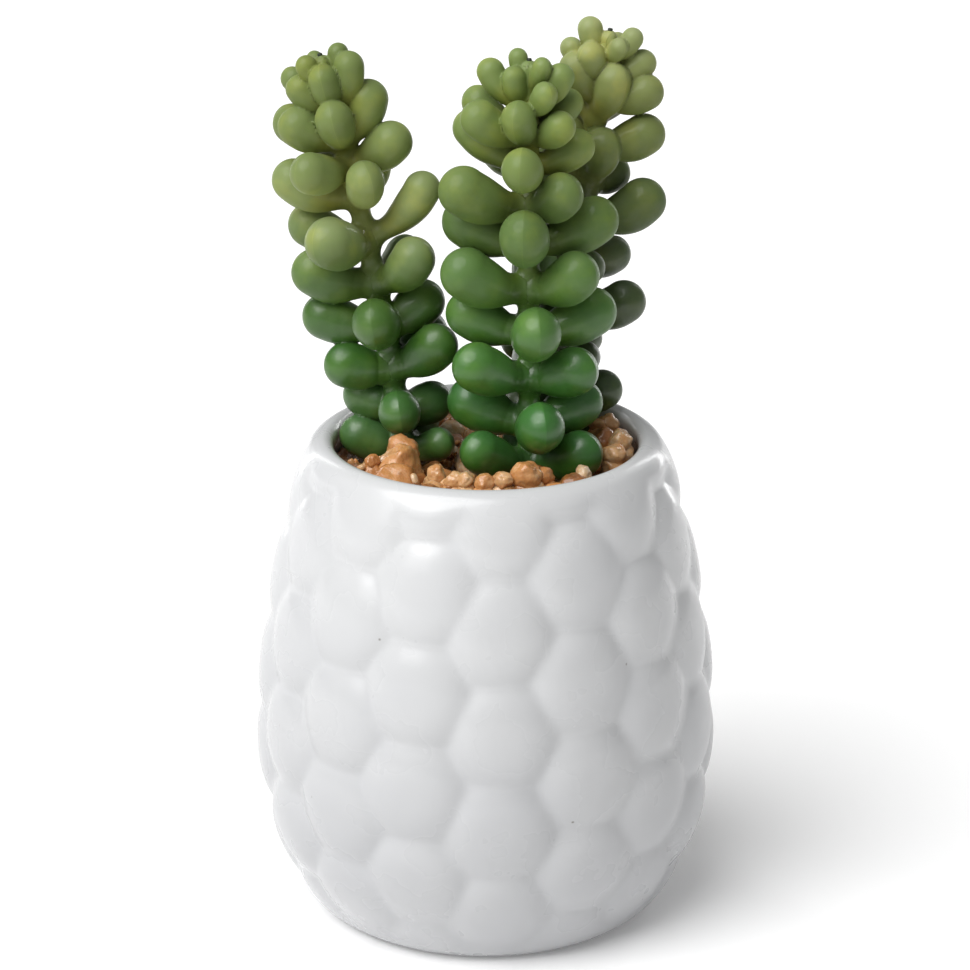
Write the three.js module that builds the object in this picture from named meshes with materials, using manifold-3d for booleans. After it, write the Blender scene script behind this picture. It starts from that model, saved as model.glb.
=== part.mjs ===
// Potted burro's tail: a glazed ceramic pot with a raised honeycomb of soft domes, filled with
// foam and glued gravel, and three upright leafy stems whose fat leaves stand in whorls.
// Millimetres, +Z up, the origin at the middle of the pot's foot, -Y towards the viewer.

import * as THREE from "three";
import { mergeVertices } from "three/addons/utils/BufferGeometryUtils.js";
import Module from "manifold-3d";

const wasm = await Module();
wasm.setup();

const DEG = Math.PI / 180;
const GAP = 0.4; // left between pieces that touch
const SLIVER = 0.3; // edges that a join leaves shorter than this are drawn together
const SLIVER_PASSES = 30;

// ---------------------------------------------------------------- driving dimensions

// Pot: the outside at the crests of the domes, from the foot up to the rim [radius, height].
const POT_SIDES = 64; // four to each column of domes
const FOOT_RADIUS = 25.5;
const POT_OUTSIDE = [
  [29.5, 0.5], [32.6, 3], [36, 8], [38.8, 14], [40.7, 21], [41.7, 29], [41.9, 36], [41.5, 43],
  [40.8, 50], [39.8, 57], [38.4, 65], [36.6, 73], [34.8, 80], [33.2, 84.5], [31.6, 87.3],
];
const POT_LIP = [[30.3, 88.5], [28.9, 89], [27.7, 88.5], [27.2, 87.3]];
const POT_INSIDE = [
  [28.9, 82], [32.4, 72], [35.4, 59], [36.8, 43], [36.2, 24], [33.4, 12], [30.0, 7.2], [25, 5.2],
];
const POT_FLOOR = 5;
const WALL_POINTS = 80;

// Relief: columns of domes round the pot, every other column half a step lower.
const DOME_COLUMNS = 16;
const DOME_TURN = 4.5; // degrees from the front to the first column
const DOME_PITCH = 18;
const DOME_TOP = 83.3;
const DOME_DEPTH = 1.6; // how deep a dome's flank lies at DOME_REACH from its middle
const DOME_REACH = 9.5;
const DOME_FLAT = 3; // the higher, the flatter a dome's top and the steeper its flanks
const CREASE_SOFTNESS = 0.8;
const DOME_JITTER = 0.8;
const LOW_COLUMN = 15; // the column to the left of the front one sits lower than the rule
const LOW_COLUMN_DROP = 2.5;
const ROWS_TO_A_DOME = 4;
const POT_FULL = 0.25; // makes up for the roundness that the wall's facets lose
const RELIEF_LOW = [1.5, 7]; // the relief grows in between these heights above the foot
const RELIEF_HIGH = [83, 88]; // and dies out between these below the rim

// Filling: foam below, a bed of stones glued together above.
const FOAM_TOP = 75.4;
const BED_BOTTOM = 75.8;
const BED_TOP = 81.4;
const STEM_FOOT = 58;
const BORE_BEYOND = 6; // how far the wire's bore is cut past the end of a stem's curve
const FILLING_STEP = 14;

// Stones: a sunflower spiral over the bed.
const STONE_COUNT = 66;
const STONE_STEP = 3.1;
const STONE_SIZES = [2.9, 4.3];
const STONE_LEAST = 1.7;
const STONE_PROUD = [0.45, 0.95]; // how far a stone's middle stands above the bed, in its radii
const STONE_SCATTER = 0.2;
const STONE_ROUGH = 0.22; // how far a corner of a stone may fall short of its radius
const STONE_REACH = 26.9;
const STONE_SEED = 4528;
const LOW_WHORLS = 2; // the stones keep clear of the leaves of this many whorls
const LOW_STEM = 92; // and of the stems up to this height
// The stones that show in front of the leaves, each [x, y, height of its middle, radius]. They
// are heaped up against the wall on stones of HEAP_SIZE.
const FRONT_STONES = [
  [-15.3, -11, 86.9, 4.3], [-14.8, -7.5, 88.5, 3.5], [-20, -12, 88.1, 1.6], [-8.6, -15, 87, 2.1],
  [-5.4, -18, 86.8, 1.9], [-3.5, -19, 87.2, 1.7], [-0.2, -20, 87, 1.8], [3, -20, 87.5, 1.8],
  [7.1, -18.5, 88.1, 3.1], [9.9, -17, 87.2, 2.1], [16.9, -14, 86.5, 1.8], [22.4, -4, 86.6, 2.7],
  [23.9, 0, 88, 2.3], [22.2, 9, 87.8, 2.2], [20, 8, 88.2, 1.6], [21, 3, 86.9, 2.6],
];
const HEAP_SIZE = 2.6;
const HEAP_STEP = 2.4;

// Stems and leaves.
const STEM_RADIUS = 1.6;
const BORE_RADIUS = 0.85;
const WIRE_RADIUS = 0.45;
const WIRE_PROUD = 2;
const STEM_STEPS = 12;
const STEM_SIDES = 6;
const LEAF_SIDES = 6;
const LEAF_STEPS = [0.42, 1]; // where along a leaf its rings stand
const ROOT_START = 0.4; // a leaf's root begins this far from the stem's axis
const LEAF_FULL = 1.08; // makes up for the roundness that few sides lose
const NECK = 0.45; // a leaf's neck as a part of its ball's radius
const NECK_SWELL = [0.05, 0.85]; // the stretch of a leaf in which the neck grows to the ball
const LEAF_END = [0.66, 0.75]; // the last ring: how far past the ball's middle, how wide
const BEND_STEPS = 12;

// Each stem: the three points that its curve is drawn from, and its whorls from the bottom up.
// A whorl is [height, curl, leaves] and a leaf [turn from the front towards +X, length, lift,
// radius of its ball]. The curl is how far a leaf droops at its root and rises at its end.
const STEMS = {
  left: {
    curve: [[-14, 5, 80], [-18.5, 5, 118], [-28.4, 5, 155.5]],
    whorls: [
      [84.8, 14, [[-92, 8.3, 24, 3.8], [50, 8.8, 13, 2.9], [160, 8.2, 16, 3.9]]],
      [92.4, 14, [[4, 8, 13, 3.9], [-110, 6.9, 22, 3.8], [110, 6.2, -4, 3.8]]],
      [100.1, 16, [[-80, 8.2, 15, 4.1], [62, 10.8, 23, 4], [135, 9.8, 20, 4.2]]],
      [107.9, 16, [[-6, 9, 21, 4.3], [-98, 10.8, 16, 4.1], [102, 7.9, 20, 4.1]]],
      [116.1, 26, [[-84, 11.2, 21, 4.2], [55, 10.8, 25, 3.9], [140, 9, 12, 3.7]]],
      [124, 20, [[-37, 10.2, 15, 4.5], [80, 14.2, 32, 3.2], [-110, 11, 18, 3.9]]],
      [132, 30, [[21, 8.8, 28, 3.5], [-88, 11.8, 26, 3.8], [130, 6.5, 34, 3]]],
      [137.6, 20, [[78, 9, 17, 3.7], [-40, 10.2, 10, 3.6], [-150, 9.6, 20, 3.9]]],
      [141.6, 20, [
        [88, 9, 47, 3.5], [-78, 8.7, 34, 3.5], [-2, 7.4, 47, 3.5],
        [-120, 10.6, 22, 3.6], [160, 8.4, 40, 3.6],
      ]],
      [147, 20, [
        [-6, 7.4, 65, 2.8], [-84, 7.4, 48, 2.6], [68, 9.2, 58, 2.7],
        [-125, 10.1, 40, 2.2], [150, 7, 50, 2.8],
      ]],
      [151.5, 16, [[-62, 5.7, 57, 1.9], [-150, 5.4, 60, 1.6], [100, 6.1, 59, 1.8], [160, 4.2, 40, 2]]],
    ],
  },
  centre: {
    curve: [[7.8, -3, 80], [7.3, -3, 118], [7.4, -3, 156.5]],
    whorls: [
      [85.2, 16, [[-55, 11.3, 20, 3.8], [62, 10.6, 16, 4.1], [-165, 6.8, 14, 3.3]]],
      [92.5, 16, [[11, 10.6, 13, 4.4], [-102, 10.9, 17, 4.4], [108, 9.7, 15, 4.3]]],
      [101, 16, [[-58, 11.7, 19, 4.3], [60, 9.7, 15, 4.2], [172, 8.4, 10, 4.1]]],
      [109.2, 18, [[7, 10.8, 16, 4.5], [-95, 11, 17, 4.2], [105, 12, 13, 4.4]]],
      [117.5, 26, [[-68, 12.8, 18, 4.5], [55, 11, 21, 4.2], [172, 9, 14, 4.1]]],
      [125.5, 20, [[-5, 10.8, 22, 4.5], [-105, 11.7, 15, 4.4], [98, 12.3, 17, 4.3]]],
      [132.3, 22, [[-72, 12.8, 17, 4.3], [48, 8.4, 23, 3.9], [172, 8.6, 17, 4]]],
      [139.2, 18, [[-8, 9.4, 12, 3.7], [-100, 12, 33, 3.4], [98, 9.1, 21, 3.2], [-145, 9, 8, 3.6]]],
      [144.5, 22, [
        [-70, 10.2, 24, 3.3], [50, 7.7, 23, 2.8], [-19, 7.6, 39, 3.1],
        [115, 9.5, 34, 2.5], [-120, 11.4, 26, 3], [170, 8, 30, 3.2],
      ]],
      [149.3, 20, [
        [-100, 9.5, 44, 2.4], [27, 7.2, 34, 2.3], [80, 8.3, 48, 2.4],
        [-60, 6.9, 63, 2.1], [150, 7, 45, 2.6],
      ]],
      [152.8, 14, [[-120, 5.9, 68, 1.7], [45, 5.6, 56, 1.7], [150, 4, 40, 1.9]]],
    ],
  },
  right: {
    curve: [[13.4, 13, 80], [15, 13.5, 118], [21.5, 13, 158]],
    whorls: [
      [85.6, 14, [[-105, 8, 15, 4], [112, 4.6, 15, 2.8], [-35, 4.4, 21, 2.7]]],
      [92.4, 28, [[82, 7.4, 12, 3.6], [-150, 8.4, 12, 4.2], [-40, 6.8, 12, 3.4]]],
      [99.8, 16, [[150, 7.7, 10, 2.9], [-104, 8.6, 12, 4.1], [35, 5.6, 12, 2.9]]],
      [108.8, 32, [[88, 10, 11, 3.9], [-150, 10.2, 8, 4.4], [-30, 7.4, 16, 3.5]]],
      [116.8, 16, [[132, 9.2, 4, 3.4], [-103, 9.2, 12, 4], [20, 6.4, 12, 3]]],
      [126.4, 36, [[84, 11.8, 19, 4.1], [-150, 10.8, 13, 4.6], [-30, 7.6, 8, 3.7]]],
      [132.6, 18, [[132, 6.6, 3, 3.2], [-100, 8.8, 16, 3.8], [45, 7.3, 67, 3.5]]],
      [138.8, 24, [[86, 9.8, 20, 3.7], [-160, 9.6, 18, 4], [-80, 7.1, 24, 3.4]]],
      [143.6, 22, [[40, 8.5, 69, 3.3], [150, 8.8, 38, 3.6], [-140, 8.8, 38, 3.4]]],
      [147, 20, [[80, 8.7, 20, 3.2], [-72, 7.7, 47, 3], [130, 7.4, 28, 3.1]]],
      [150.8, 18, [[90, 7.7, 30, 2.5], [-50, 5.6, 50, 2.6], [-108, 7.7, 33, 2], [-160, 6.6, 50, 2.6]]],
      [154, 16, [[72, 6.7, 50, 1.9], [-100, 6.3, 56, 2.2], [34, 4.9, 46, 1.7], [150, 4.4, 35, 2.2]]],
    ],
  },
};

const FINISH = {
  glaze: { color: 0xe9eaec, roughness: 0.16, metalness: 0 },
  foam: { color: 0xd8cfae, roughness: 0.95, metalness: 0 },
  gravel: { color: 0xb9773f, roughness: 0.55, metalness: 0 },
  leafLeft: { color: 0x5d7a3a, roughness: 0.5, metalness: 0 },
  leafCentre: { color: 0x4c7a38, roughness: 0.48, metalness: 0 },
  leafRight: { color: 0x667a3c, roughness: 0.55, metalness: 0 },
  wire: { color: 0x1f2a1c, roughness: 0.6, metalness: 0.2 },
};

// ---------------------------------------------------------------- solids and meshes

function solid(geometry) {
  const bare = geometry.clone();
  bare.deleteAttribute("normal");
  bare.deleteAttribute("uv");
  const merged = mergeVertices(bare, 1e-5);
  const vertProperties = new Float32Array(merged.attributes.position.array);
  const triVerts = new Uint32Array(merged.index.array);
  return new wasm.Manifold(new wasm.Mesh({ numProp: 3, vertProperties, triVerts }));
}

// The outermost skin of a body: a hollow sealed in by the joins is filled, a loose scrap dropped.
function outerSkin(vertices, triangles) {
  const owner = Array.from({ length: vertices.length / 3 }, (_, i) => i);
  const find = (i) => {
    let top = i;
    while (owner[top] !== top) top = owner[top];
    owner[i] = top;
    return top;
  };
  for (let t = 0; t < triangles.length; t += 3) {
    owner[find(triangles[t + 1])] = find(triangles[t]);
    owner[find(triangles[t + 2])] = find(triangles[t]);
  }
  const volumes = new Map();
  const corner = (i) => new THREE.Vector3().fromArray(vertices, 3 * i);
  for (let t = 0; t < triangles.length; t += 3) {
    const [a, b, c] = [corner(triangles[t]), corner(triangles[t + 1]), corner(triangles[t + 2])];
    const skin = find(triangles[t]);
    volumes.set(skin, (volumes.get(skin) ?? 0) + a.dot(b.cross(c)) / 6);
  }
  const [outer] = [...volumes.entries()].reduce((best, one) => (one[1] > best[1] ? one : best));
  const kept = [];
  for (let t = 0; t < triangles.length; t += 3) {
    if (find(triangles[t]) === outer) kept.push(triangles[t], triangles[t + 1], triangles[t + 2]);
  }
  return kept;
}

// The same skin with its shortest edges drawn together, where that leaves it closed and unfolded:
// joins leave slivers along the lines where two solids meet.
function withoutSlivers(vertices, triangles) {
  const corner = (i) => new THREE.Vector3().fromArray(vertices, 3 * i);
  const normal = (face) => {
    const [a, b, c] = face.map(corner);
    return b.sub(a).cross(c.sub(a));
  };
  let faces = [];
  for (let t = 0; t < triangles.length; t += 3) faces.push(triangles.slice(t, t + 3));
  for (let pass = 0; pass < SLIVER_PASSES; pass += 1) {
    const around = new Map();
    for (const face of faces) {
      for (const i of face) around.set(i, [...(around.get(i) ?? []), face]);
    }
    const neighbours = (i) => new Set(around.get(i).flat().filter((k) => k !== i));
    const moved = new Map();
    const settled = new Set();
    for (const face of faces) {
      for (let k = 0; k < 3; k += 1) {
        const [keep, drop] = [face[k], face[(k + 1) % 3]];
        if (corner(keep).distanceTo(corner(drop)) > SLIVER) continue;
        const [near, far] = [neighbours(keep), neighbours(drop)];
        const all = [...near, ...far];
        if (all.some((i) => settled.has(i))) continue;
        if (all.filter((i) => near.has(i) && far.has(i)).length !== 4) continue;
        const swung = around.get(drop).filter((one) => !one.includes(keep));
        const folds = swung.some((one) => {
          const after = normal(one.map((i) => (i === drop ? keep : i)));
          return normal(one).dot(after) < 0.1 * after.length() * normal(one).length();
        });
        if (folds) continue;
        moved.set(drop, keep);
        for (const i of all) settled.add(i);
      }
    }
    if (moved.size === 0) break;
    faces = faces.map((face) => face.map((i) => moved.get(i) ?? i));
    faces = faces.filter(([a, b, c]) => a !== b && b !== c && c !== a);
  }
  return faces.flat();
}

function geometryOf(body) {
  const mesh = body.getMesh();
  const skin = outerSkin(mesh.vertProperties, mesh.triVerts);
  const faces = withoutSlivers(mesh.vertProperties, skin);
  const geometry = new THREE.BufferGeometry();
  geometry.setAttribute("position", new THREE.BufferAttribute(new Float32Array(mesh.vertProperties), 3));
  geometry.setIndex(faces);
  geometry.computeVertexNormals();
  return geometry;
}

function piece(name, geometry, finish) {
  const mesh = new THREE.Mesh(geometry, new THREE.MeshStandardMaterial(finish));
  mesh.name = name;
  return mesh;
}

// ---------------------------------------------------------------- pot

function smoothstep(low, high, value) {
  const t = Math.min(1, Math.max(0, (value - low) / (high - low)));
  return t * t * (3 - 2 * t);
}

// An even scatter between -1 and 1 that belongs to one dome of the relief.
function domeScatter(column, row, salt) {
  const wave = Math.sin(column * 12.9898 + row * 78.233 + salt * 37.719) * 43.5453;
  return 2 * (wave - Math.floor(wave)) - 1;
}

// How far the surface lies below the crests: nothing at the middle of a dome, most in the soft
// crease between domes.
function creaseDepth(turn, height, radius) {
  const columnAngle = 360 / DOME_COLUMNS;
  const nearest = Math.round((turn - DOME_TURN) / columnAngle);
  let nearness = 0;
  for (let c = nearest - 1; c <= nearest + 1; c += 1) {
    const column = ((c % DOME_COLUMNS) + DOME_COLUMNS) % DOME_COLUMNS;
    const drop = column === LOW_COLUMN ? LOW_COLUMN_DROP : 0;
    const top = DOME_TOP - (column % 2) * DOME_PITCH / 2 - drop;
    const middle = Math.round((top - height) / DOME_PITCH);
    for (let row = middle - 1; row <= middle + 1; row += 1) {
      const across = (turn - DOME_TURN - c * columnAngle) * DEG * radius
        - DOME_JITTER * domeScatter(column, row, 1);
      const up = height - top + row * DOME_PITCH - DOME_JITTER * domeScatter(column, row, 2);
      nearness += Math.exp(-Math.hypot(across, up) / CREASE_SOFTNESS);
    }
  }
  const fromMiddle = Math.max(0, -CREASE_SOFTNESS * Math.log(nearness));
  return DOME_DEPTH * (fromMiddle / DOME_REACH) ** DOME_FLAT;
}

// The radius at a height, between the two points of a profile that stand below and above it.
function radiusAt(profile, height) {
  const rising = [...profile].sort((a, b) => a[1] - b[1]);
  const above = Math.max(1, rising.findIndex(([, z]) => z >= height));
  const [[r0, z0], [r1, z1]] = [rising[above - 1], rising[above]];
  return r0 + (r1 - r0) * (height - z0) / (z1 - z0);
}

// The same points with a smooth curve drawn through them.
function smoothed(profile) {
  const curve = new THREE.SplineCurve(profile.map(([r, z]) => new THREE.Vector2(r, z)));
  return curve.getPoints(WALL_POINTS).map((p) => [p.x, p.y]);
}

// Each four-cornered patch of the wall is split along its flatter diagonal, so that the creases
// run alike to both sides of a dome.
function facesAlongCreases(place, rows) {
  const radius = (i) => Math.hypot(place.getX(i), place.getY(i));
  const faces = [];
  for (let side = 0; side < POT_SIDES; side += 1) {
    for (let row = 0; row < rows - 1; row += 1) {
      const a = side * rows + row;
      const [b, c, d] = [a + rows, a + rows + 1, a + 1];
      if (Math.abs(radius(a) - radius(c)) < Math.abs(radius(b) - radius(d))) {
        faces.push(a, b, c, a, c, d);
      } else {
        faces.push(a, b, d, b, c, d);
      }
    }
  }
  return faces;
}

// The wall is turned round the axis and then pressed in at the creases. Its rows stand on the
// crests and the creases of the domes.
function potGeometry() {
  const crests = smoothed(POT_OUTSIDE);
  const rows = [];
  const step = DOME_PITCH / ROWS_TO_A_DOME;
  for (let z = DOME_TOP; z > RELIEF_LOW[0]; z -= step) {
    rows.unshift([radiusAt(crests, z), z]);
  }
  const outside = [[0, 0], [FOOT_RADIUS, 0], POT_OUTSIDE[0], ...rows, POT_OUTSIDE.at(-1)];
  const profile = [...outside, ...POT_LIP, ...POT_INSIDE, [0, POT_FLOOR]];
  const turned = profile.map(([r, z]) => new THREE.Vector2(r, z));
  const geometry = new THREE.LatheGeometry(turned, POT_SIDES, DOME_TURN * DEG);
  geometry.rotateX(Math.PI / 2);
  const place = geometry.attributes.position;
  for (let i = 0; i < place.count; i += 1) {
    const row = i % profile.length;
    if (row < 2 || row >= outside.length) continue;
    const x = place.getX(i);
    const y = place.getY(i);
    const z = place.getZ(i);
    const radius = Math.hypot(x, y);
    const turn = Math.atan2(x, -y) / DEG;
    const strength = smoothstep(...RELIEF_LOW, z) * (1 - smoothstep(...RELIEF_HIGH, z));
    const pressed = 1 + strength * (POT_FULL - creaseDepth(turn, z, radius)) / radius;
    place.setXY(i, x * pressed, y * pressed);
  }
  geometry.setIndex(facesAlongCreases(place, profile.length));
  return geometryOf(solid(geometry));
}

// ---------------------------------------------------------------- stems and leaves

function stemCurve(stem) {
  return new THREE.QuadraticBezierCurve3(...stem.curve.map((p) => new THREE.Vector3(...p)));
}

function stemAt(curve, height) {
  let low = 0;
  let high = 1;
  for (let i = 0; i < 40; i += 1) {
    const middle = (low + high) / 2;
    if (curve.getPoint(middle).z < height) low = middle;
    else high = middle;
  }
  return low;
}

// The middle line of one leaf, as points with the leaf's radius at each: it leaves the stem's
// axis drooping, curls up and ends in a ball. The points stand at the given fractions of its
// length.
function leafLine(curve, whorl, leaf, fractions) {
  const [height, curl] = whorl;
  const [turn, length, lift, ball] = leaf;
  const at = stemAt(curve, height);
  const hub = curve.getPoint(at);
  const axis = curve.getTangent(at).normalize();
  const right = new THREE.Vector3(1, 0, 0);
  right.addScaledVector(axis, -right.dot(axis)).normalize();
  const back = new THREE.Vector3().crossVectors(axis, right);
  const out = right.clone().multiplyScalar(Math.sin(turn * DEG));
  out.addScaledVector(back, -Math.cos(turn * DEG));
  const liftAt = (u) => (lift + curl * (2 * u - 1)) * DEG;
  const middleAt = (u) => {
    const centre = hub.clone();
    for (let k = 0; k < BEND_STEPS; k += 1) {
      const bend = liftAt(u * (k + 0.5) / BEND_STEPS);
      centre.addScaledVector(out, Math.cos(bend) * length * u / BEND_STEPS);
      centre.addScaledVector(axis, Math.sin(bend) * length * u / BEND_STEPS);
    }
    return centre;
  };
  return fractions.map((u) => {
    const radius = ball * (NECK + (1 - NECK) * smoothstep(...NECK_SWELL, u));
    const rise = liftAt(u);
    const ahead = out.clone().multiplyScalar(Math.cos(rise)).addScaledVector(axis, Math.sin(rise));
    return { centre: middleAt(u), radius, ahead };
  });
}

// A leaf runs from a point sunk in the stem through its rings to a domed end.
function leafGeometry(curve, whorl, leaf) {
  const [root, ...rings] = leafLine(curve, whorl, leaf, [ROOT_START / leaf[1], ...LEAF_STEPS]);
  const tip = rings[rings.length - 1];
  const domed = tip.centre.clone().addScaledVector(tip.ahead, LEAF_END[0] * tip.radius);
  rings.push({ centre: domed, radius: LEAF_END[1] * tip.radius, ahead: tip.ahead });
  const points = [];
  for (const ring of rings) {
    const side = new THREE.Vector3().crossVectors(ring.ahead, new THREE.Vector3(0, 0, 1));
    if (side.length() < 0.05) side.set(1, 0, 0);
    side.addScaledVector(ring.ahead, -side.dot(ring.ahead)).normalize();
    const over = new THREE.Vector3().crossVectors(side, ring.ahead);
    for (let k = 0; k < LEAF_SIDES; k += 1) {
      const angle = 2 * Math.PI * (k + 0.5) / LEAF_SIDES;
      const point = ring.centre.clone();
      point.addScaledVector(side, LEAF_FULL * ring.radius * Math.cos(angle));
      point.addScaledVector(over, LEAF_FULL * ring.radius * Math.sin(angle));
      points.push(point);
    }
  }
  const start = points.push(root.centre) - 1;
  const beyond = tip.centre.clone().addScaledVector(tip.ahead, LEAF_FULL * tip.radius);
  const end = points.push(beyond) - 1;
  const faces = [];
  const last = (rings.length - 1) * LEAF_SIDES;
  for (let k = 0; k < LEAF_SIDES; k += 1) {
    const next = (k + 1) % LEAF_SIDES;
    faces.push(start, k, next);
    faces.push(end, last + next, last + k);
    for (let r = 0; r < rings.length - 1; r += 1) {
      const a = r * LEAF_SIDES + k;
      const b = r * LEAF_SIDES + next;
      faces.push(a, a + LEAF_SIDES, b);
      faces.push(b, a + LEAF_SIDES, b + LEAF_SIDES);
    }
  }
  const geometry = new THREE.BufferGeometry().setFromPoints(points);
  geometry.setIndex(faces);
  return geometry;
}

// A round rod of the given radius that follows a stem, from its foot in the foam to a height
// above or below the end of the stem's curve.
function rodGeometry(curve, radius, foot, proud) {
  const start = curve.getPoint(0);
  const end = curve.getPoint(1);
  const path = new THREE.CurvePath();
  path.add(new THREE.LineCurve3(new THREE.Vector3(start.x, start.y, foot), start));
  path.add(curve);
  if (proud > 0) {
    const tip = end.clone().addScaledVector(curve.getTangent(1).normalize(), proud);
    path.add(new THREE.LineCurve3(end, tip));
  }
  const section = new THREE.Shape().absarc(0, 0, radius, 0, 2 * Math.PI);
  return new THREE.ExtrudeGeometry(section, {
    steps: STEM_STEPS,
    curveSegments: STEM_SIDES / 2,
    extrudePath: path,
    bevelEnabled: false,
  });
}

function leafySolid(stem) {
  const curve = stemCurve(stem);
  let body = solid(rodGeometry(curve, STEM_RADIUS, STEM_FOOT, 0));
  for (const whorl of stem.whorls) {
    for (const leaf of whorl[2]) {
      body = body.add(solid(leafGeometry(curve, whorl, leaf)));
    }
  }
  return body.subtract(solid(rodGeometry(curve, BORE_RADIUS, STEM_FOOT - 2, BORE_BEYOND)));
}

// ---------------------------------------------------------------- filling

function seeded(seed) {
  let state = seed;
  return () => {
    state = (state * 16807) % 2147483647;
    return state / 2147483647;
  };
}

// A round layer that fills the pot between two heights and keeps the gap to its wall.
function fillingSolid(bottom, top) {
  const profile = [new THREE.Vector2(0, bottom)];
  const rows = Math.max(1, Math.round((top - bottom) / FILLING_STEP));
  for (let i = 0; i <= rows; i += 1) {
    const height = bottom + (top - bottom) * i / rows;
    profile.push(new THREE.Vector2(radiusAt(POT_INSIDE, height) - 2 * GAP, height));
  }
  profile.push(new THREE.Vector2(0, top));
  const geometry = new THREE.LatheGeometry(profile, POT_SIDES / 2);
  geometry.rotateX(Math.PI / 2);
  return solid(geometry);
}

// The plain hole that a stem stands in.
function stemHole(stem) {
  return solid(rodGeometry(stemCurve(stem), STEM_RADIUS + GAP, STEM_FOOT - GAP, 0));
}

// Every ball along every leaf near the bed, which the stones keep clear of.
function lowLeafBalls() {
  const balls = [];
  const along = [0, 0.15, 0.3, 0.45, 0.6, 0.75, 0.9, 1];
  for (const stem of Object.values(STEMS)) {
    const curve = stemCurve(stem);
    for (const whorl of stem.whorls.slice(0, LOW_WHORLS)) {
      for (const leaf of whorl[2]) balls.push(...leafLine(curve, whorl, leaf, along));
    }
    for (let h = BED_TOP; h < LOW_STEM; h += 1) {
      balls.push({ centre: curve.getPoint(stemAt(curve, h)), radius: STEM_RADIUS });
    }
  }
  return balls;
}

// Where each stone lies and how big it may be: less where a leaf hangs over it.
function stonePlaces() {
  const draw = seeded(STONE_SEED);
  const balls = lowLeafBalls();
  const roomAt = (centre) => {
    return Math.min(...balls.map((ball) => ball.centre.distanceTo(centre) - ball.radius)) - GAP;
  };
  const golden = Math.PI * (3 - Math.sqrt(5));
  const stones = [];
  for (const [x, y, height, wanted] of FRONT_STONES) {
    for (let z = height; z > BED_TOP; z -= HEAP_STEP) {
      const size = Math.min(z < height ? HEAP_SIZE : wanted, roomAt(new THREE.Vector3(x, y, z)));
      stones.push({ x, y, z, size });
    }
  }
  for (let i = 0; i < STONE_COUNT; i += 1) {
    const wanted = STONE_SIZES[0] + (STONE_SIZES[1] - STONE_SIZES[0]) * draw();
    const spread = Math.min(STONE_STEP * Math.sqrt(i + 0.5), STONE_REACH - wanted);
    const turn = golden * i + STONE_SCATTER * (draw() - 0.5);
    const [x, y] = [spread * Math.cos(turn), spread * Math.sin(turn)];
    const heaped = STONE_PROUD[0] + (STONE_PROUD[1] - STONE_PROUD[0]) * draw() * spread / STONE_REACH;
    const centre = new THREE.Vector3(x, y, BED_TOP + heaped * wanted);
    const size = Math.min(wanted, roomAt(centre));
    const z = BED_TOP + heaped * size;
    if (size >= STONE_LEAST) stones.push({ x, y, z, size });
  }
  return stones;
}

function stoneGeometry(stone, draw) {
  const bare = new THREE.IcosahedronGeometry(1, 0).deleteAttribute("uv").deleteAttribute("normal");
  const geometry = mergeVertices(bare);
  const place = geometry.attributes.position;
  for (let i = 0; i < place.count; i += 1) {
    const length = stone.size * (1 - STONE_ROUGH * draw());
    place.setXYZ(i, place.getX(i) * length, place.getY(i) * length, place.getZ(i) * length);
  }
  geometry.rotateX(6 * draw());
  geometry.rotateZ(6 * draw());
  geometry.translate(stone.x, stone.y, stone.z);
  return geometry;
}

function gravelSolid() {
  const draw = seeded(STONE_SEED + 1);
  let bed = fillingSolid(BED_BOTTOM, BED_TOP);
  for (const stone of stonePlaces()) bed = bed.add(solid(stoneGeometry(stone, draw)));
  return bed;
}

// ---------------------------------------------------------------- assembly

const part = new THREE.Group();
part.add(piece("pot", potGeometry(), FINISH.glaze));

let foam = fillingSolid(POT_FLOOR + 2 * GAP, FOAM_TOP);
let gravel = gravelSolid();
for (const stem of Object.values(STEMS)) {
  foam = foam.subtract(stemHole(stem));
  gravel = gravel.subtract(stemHole(stem));
}
part.add(piece("foam_filling", geometryOf(foam), FINISH.foam));
part.add(piece("gravel_bed", geometryOf(gravel), FINISH.gravel));

const LEAF_FINISH = { left: FINISH.leafLeft, centre: FINISH.leafCentre, right: FINISH.leafRight };
for (const [side, stem] of Object.entries(STEMS)) {
  part.add(piece(`leafy_stem_${side}`, geometryOf(leafySolid(stem)), LEAF_FINISH[side]));
  const wire = rodGeometry(stemCurve(stem), WIRE_RADIUS, STEM_FOOT + GAP, WIRE_PROUD);
  part.add(piece(`stem_wire_${side}`, geometryOf(solid(wire)), FINISH.wire));
}

export default part;
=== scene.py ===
import math
import bmesh
import bpy
import numpy as np
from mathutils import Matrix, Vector, noise


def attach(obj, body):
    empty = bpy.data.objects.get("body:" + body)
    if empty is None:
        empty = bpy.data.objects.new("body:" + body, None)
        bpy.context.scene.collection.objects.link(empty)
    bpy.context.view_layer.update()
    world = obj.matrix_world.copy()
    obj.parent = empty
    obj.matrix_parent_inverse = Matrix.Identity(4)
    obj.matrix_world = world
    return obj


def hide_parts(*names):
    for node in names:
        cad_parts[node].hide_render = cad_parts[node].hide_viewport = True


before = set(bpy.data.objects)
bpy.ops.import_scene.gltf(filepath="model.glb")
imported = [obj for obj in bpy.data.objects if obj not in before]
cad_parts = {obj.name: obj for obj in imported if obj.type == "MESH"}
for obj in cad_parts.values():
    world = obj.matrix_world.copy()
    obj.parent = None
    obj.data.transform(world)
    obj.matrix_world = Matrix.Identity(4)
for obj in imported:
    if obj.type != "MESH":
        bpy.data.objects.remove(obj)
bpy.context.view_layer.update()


# ------------------------------------------------------------------------------------------------
# The pot: slip-cast white earthenware, an egg-shaped jar with a round opening, pressed all over
# with a honeycomb of soft domes and dipped in a glossy clear-white glaze. It carries all the rest.
# ------------------------------------------------------------------------------------------------

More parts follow.
